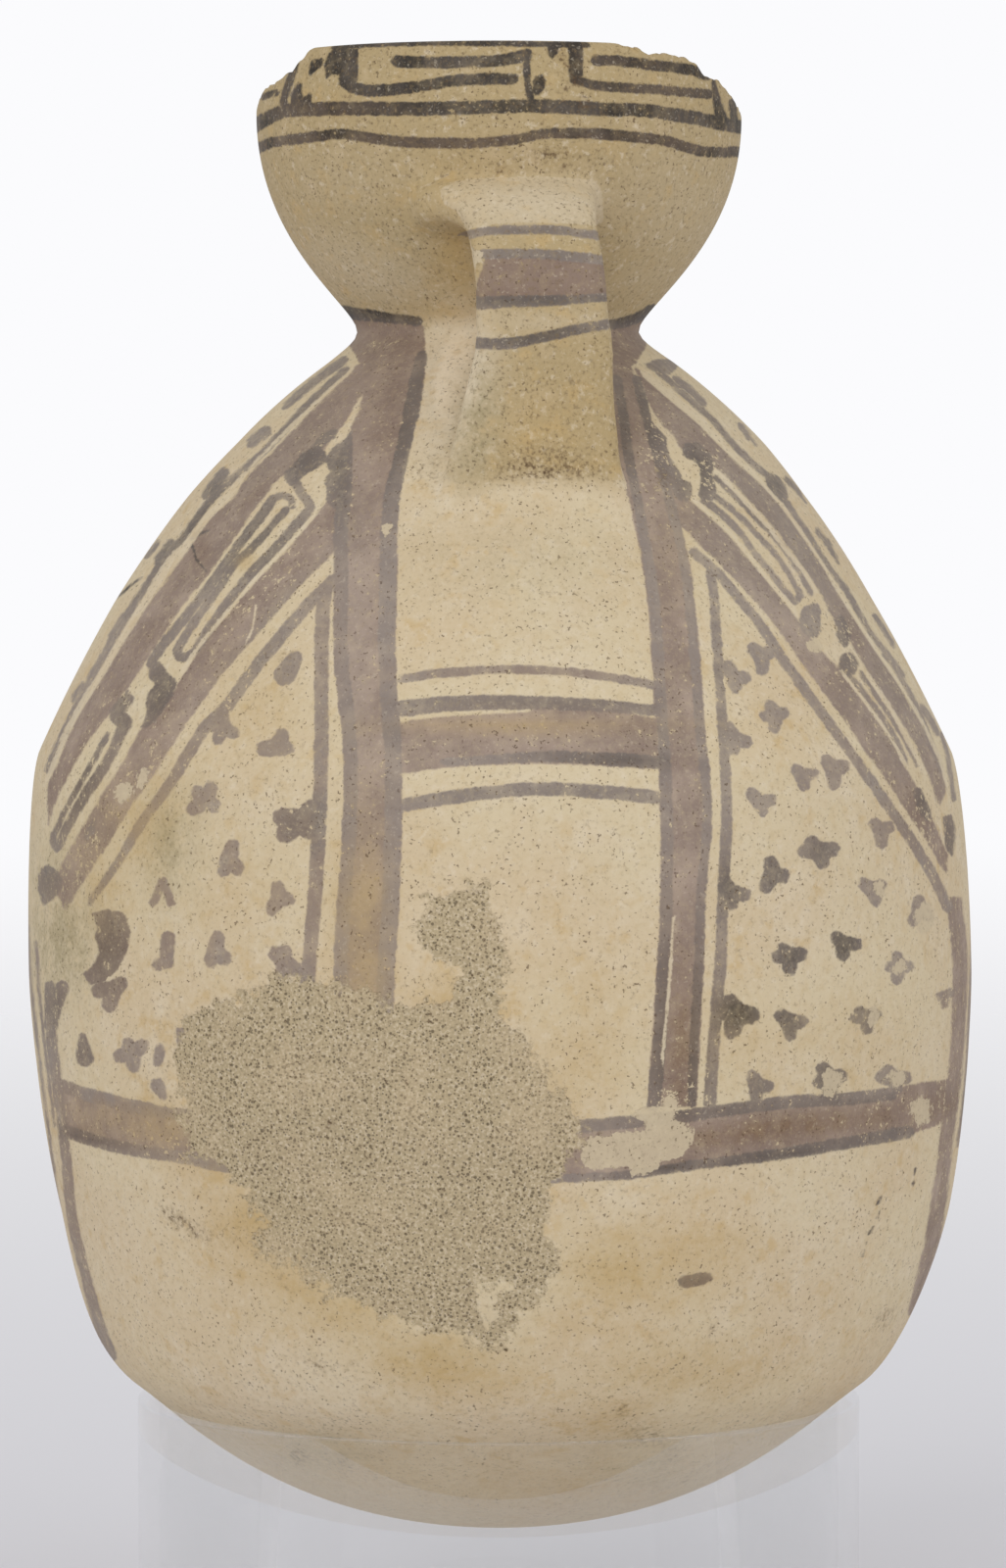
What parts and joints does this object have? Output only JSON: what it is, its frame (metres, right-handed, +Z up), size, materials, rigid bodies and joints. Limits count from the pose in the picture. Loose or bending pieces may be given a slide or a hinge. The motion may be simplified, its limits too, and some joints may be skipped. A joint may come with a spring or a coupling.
{
  "type": "painted one-handled jar in a clear ring stand",
  "caption": "Hand-built clay jar with a cup-shaped mouth, strap handle, round bottom and broken rim, painted with bands, frets and flower marks, standing upright in a clear tube ring.",
  "frame": {"origin": "centre of the ring stand's underside, on the surface that it stands on", "axes": "+Z up along the axis of the jar and the ring, the handle towards -Y and a little to +X"},
  "size_m": [0.224, 0.224, 0.3867],
  "materials": {
    "painted_clay": "matt cream slip over grey-beige clay, painted in black-brown and purple-brown, worn",
    "clear_acrylic": "clear, polished"
  },
  "bodies": {
    "root": {"jar": "painted_clay", "ring_stand": "clear_acrylic"}
  },
  "joints": []
}
